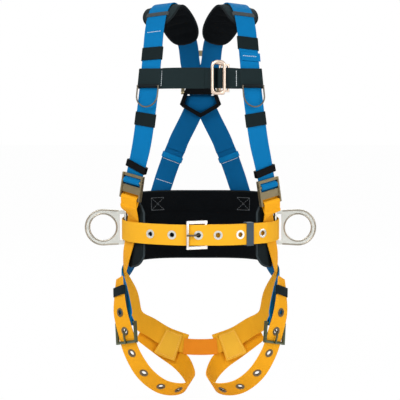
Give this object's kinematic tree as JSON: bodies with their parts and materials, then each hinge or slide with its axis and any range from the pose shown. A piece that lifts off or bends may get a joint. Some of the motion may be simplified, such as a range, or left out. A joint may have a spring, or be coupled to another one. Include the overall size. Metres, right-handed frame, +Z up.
{
  "type": "full body safety harness",
  "caption": "Full-body safety harness: padded shoulder straps, chest strap with pass-through buckle, padded belt with side rings, dorsal ring and buckled leg loops.",
  "frame": {"origin": "on the wearer's body axis at the belt's mid-height", "axes": "+Z up along the body, -Y to the wearer's front, +X to the wearer's left"},
  "size_m": [0.5062, 0.321, 0.8601],
  "materials": {
    "blue_webbing": "woven polyester webbing",
    "gold_webbing": "woven polyester webbing",
    "black_webbing": "woven polyester webbing",
    "black_elastic": "woven elastic",
    "pad_cover": "foam pad in knitted cover",
    "black_plastic": "moulded, glossy",
    "slate_plastic": "matt moulded",
    "ring_steel": "forged and plated",
    "zinc_steel": "zinc plated, yellow",
    "chest_buckle_steel": "plated, satin",
    "belt_buckle_steel": "plated, satin",
    "leg_buckle_steel": "olive plated",
    "grommet_brass": "pressed eyelet"
  },
  "bodies": {
    "harness": {"dorsal_plate": "black_plastic", "waist_pad": "pad_cover", "belt": "gold_webbing", "belt_grommets": "grommet_brass", "belt_buckle_frame": "belt_buckle_steel", "crotch_strap": "gold_webbing", "shoulder_strap_left": "blue_webbing", "shoulder_strap_right": "blue_webbing", "back_strap_left": "blue_webbing", "back_strap_right": "blue_webbing", "shoulder_pad_left": "pad_cover", "shoulder_pad_right": "pad_cover", "pad_band_left": "black_elastic", "pad_band_right": "black_elastic", "adjuster_frame_left": "zinc_steel", "adjuster_frame_right": "zinc_steel", "back_keeper_left": "blue_webbing", "back_keeper_right": "blue_webbing", "hip_strap_left": "gold_webbing", "hip_strap_right": "gold_webbing", "seat_patch_left": "gold_webbing", "seat_patch_right": "gold_webbing", "leg_strap_left": "gold_webbing", "leg_strap_right": "gold_webbing", "leg_grommets_left": "grommet_brass", "leg_grommets_right": "grommet_brass", "leg_buckle_frame_left": "leg_buckle_steel", "leg_buckle_frame_right": "leg_buckle_steel"},
    "chest": {"chest_strap_left": "black_webbing", "chest_strap_right": "black_webbing", "chest_buckle_frame": "chest_buckle_steel"},
    "chest_insert": {"chest_buckle_insert": "chest_buckle_steel"},
    "dorsal_ring": {"dorsal_ring": "zinc_steel"},
    "belt_keeper": {"belt_keeper": "slate_plastic"},
    "belt_prong": {"belt_prong": "belt_buckle_steel"},
    "hip_ring_left": {"hip_ring_left": "ring_steel"},
    "lanyard_keeper_left": {"lanyard_keeper_left": "zinc_steel"},
    "adjuster_bar_left": {"adjuster_bar_left": "zinc_steel", "adjuster_roll_left": "blue_webbing"},
    "upper_keeper_left": {"upper_keeper_left": "black_elastic"},
    "lower_keeper_left": {"lower_keeper_left": "black_elastic"},
    "strap_slider_left": {"strap_slider_left": "black_plastic"},
    "leg_keeper_left": {"leg_keeper_left": "black_elastic"},
    "leg_prong_left": {"leg_prong_left": "leg_buckle_steel"},
    "hip_ring_right": {"hip_ring_right": "ring_steel"},
    "lanyard_keeper_right": {"lanyard_keeper_right": "zinc_steel"},
    "adjuster_bar_right": {"adjuster_bar_right": "zinc_steel", "adjuster_roll_right": "blue_webbing"},
    "upper_keeper_right": {"upper_keeper_right": "black_elastic"},
    "lower_keeper_right": {"lower_keeper_right": "black_elastic"},
    "strap_slider_right": {"strap_slider_right": "black_plastic"},
    "leg_keeper_right": {"leg_keeper_right": "black_elastic"},
    "leg_prong_right": {"leg_prong_right": "leg_buckle_steel"}
  },
  "joints": [
    {"name": "chest_slide", "type": "slide", "parent": "harness", "child": "chest", "axis": [0, 0.2204, 0.9754], "range_m": [-0.005, 0.006]},
    {"name": "chest_insert_tilt", "type": "hinge", "parent": "chest", "child": "chest_insert", "pos_m": [0.041, -0.121, 0.329], "axis": [0, 0, 1], "range_deg": [0, 12]},
    {"name": "dorsal_ring_swing", "type": "hinge", "parent": "harness", "child": "dorsal_ring", "pos_m": [0, 0.112, 0.296], "axis": [-1, 0, 0], "range_deg": [-2, 95]},
    {"name": "hip_ring_left_swing", "type": "hinge", "parent": "harness", "child": "hip_ring_left", "pos_m": [0.1636, -0.02061, 0.004], "axis": [0, 0, 1], "range_deg": [-35, 35]},
    {"name": "lanyard_keeper_left_swing", "type": "hinge", "parent": "chest", "child": "lanyard_keeper_left", "pos_m": [0.11055, -0.11449, 0.31299], "axis": [-0.9184, -0.3956, 0.0047], "range_deg": [0, 70]},
    {"name": "adjuster_left_grip", "type": "slide", "parent": "harness", "child": "adjuster_bar_left", "axis": [-0.1432, -0.1074, 0.9838], "range_m": [-0.002, 0.002]},
    {"name": "upper_keeper_left_slide", "type": "slide", "parent": "harness", "child": "upper_keeper_left", "axis": [-0.0618, 0.4161, 0.9072], "range_m": [-0.004, 0.004]},
    {"name": "lower_keeper_left_slide", "type": "slide", "parent": "harness", "child": "lower_keeper_left", "axis": [-0.1328, -0.039, 0.9904], "range_m": [-0.004, 0.004]},
    {"name": "strap_slider_left_slide", "type": "slide", "parent": "harness", "child": "strap_slider_left", "axis": [-0.1916, -0.2202, 0.9565], "range_m": [-0.003, 0.003]},
    {"name": "leg_keeper_left_slide", "type": "slide", "parent": "harness", "child": "leg_keeper_left", "axis": [0.039, 0.3153, 0.9482], "range_m": [-0.002, 0.002]},
    {"name": "leg_prong_left_tilt", "type": "hinge", "parent": "harness", "child": "leg_prong_left", "pos_m": [0.15963, -0.10392, -0.19434], "axis": [-0.7512, -0.6244, 0.214], "range_deg": [0, 4]},
    {"name": "hip_ring_right_swing", "type": "hinge", "parent": "harness", "child": "hip_ring_right", "pos_m": [-0.1636, -0.02061, 0.004], "axis": [0, 0, 1], "range_deg": [-35, 35]},
    {"name": "lanyard_keeper_right_swing", "type": "hinge", "parent": "chest", "child": "lanyard_keeper_right", "pos_m": [-0.11055, -0.11449, 0.31299], "axis": [-0.9184, 0.3956, -0.0047], "range_deg": [0, 70]},
    {"name": "adjuster_right_grip", "type": "slide", "parent": "harness", "child": "adjuster_bar_right", "axis": [0.1432, -0.1074, 0.9838], "range_m": [-0.002, 0.002]},
    {"name": "upper_keeper_right_slide", "type": "slide", "parent": "harness", "child": "upper_keeper_right", "axis": [0.0766, 0.3701, 0.9258], "range_m": [-0.004, 0.004]},
    {"name": "lower_keeper_right_slide", "type": "slide", "parent": "harness", "child": "lower_keeper_right", "axis": [0.1328, -0.039, 0.9904], "range_m": [-0.004, 0.004]},
    {"name": "strap_slider_right_slide", "type": "slide", "parent": "harness", "child": "strap_slider_right", "axis": [0.2559, -0.2911, 0.9218], "range_m": [-0.001, 0.003]},
    {"name": "leg_keeper_right_slide", "type": "slide", "parent": "harness", "child": "leg_keeper_right", "axis": [-0.039, 0.3153, 0.9482], "range_m": [-0.002, 0.002]},
    {"name": "leg_prong_right_tilt", "type": "hinge", "parent": "harness", "child": "leg_prong_right", "pos_m": [-0.15963, -0.10392, -0.19434], "axis": [-0.7512, 0.6244, -0.214], "range_deg": [0, 4]},
    {"name": "belt_keeper_slide", "type": "slide", "parent": "harness", "child": "belt_keeper", "axis": [0.8775, 0.4795, 0], "range_m": [-0.005, 0.005]},
    {"name": "belt_prong_tilt", "type": "hinge", "parent": "harness", "child": "belt_prong", "pos_m": [0.011, -0.1317, 0], "axis": [0, 0, 1], "range_deg": [0, 4]}
  ]
}
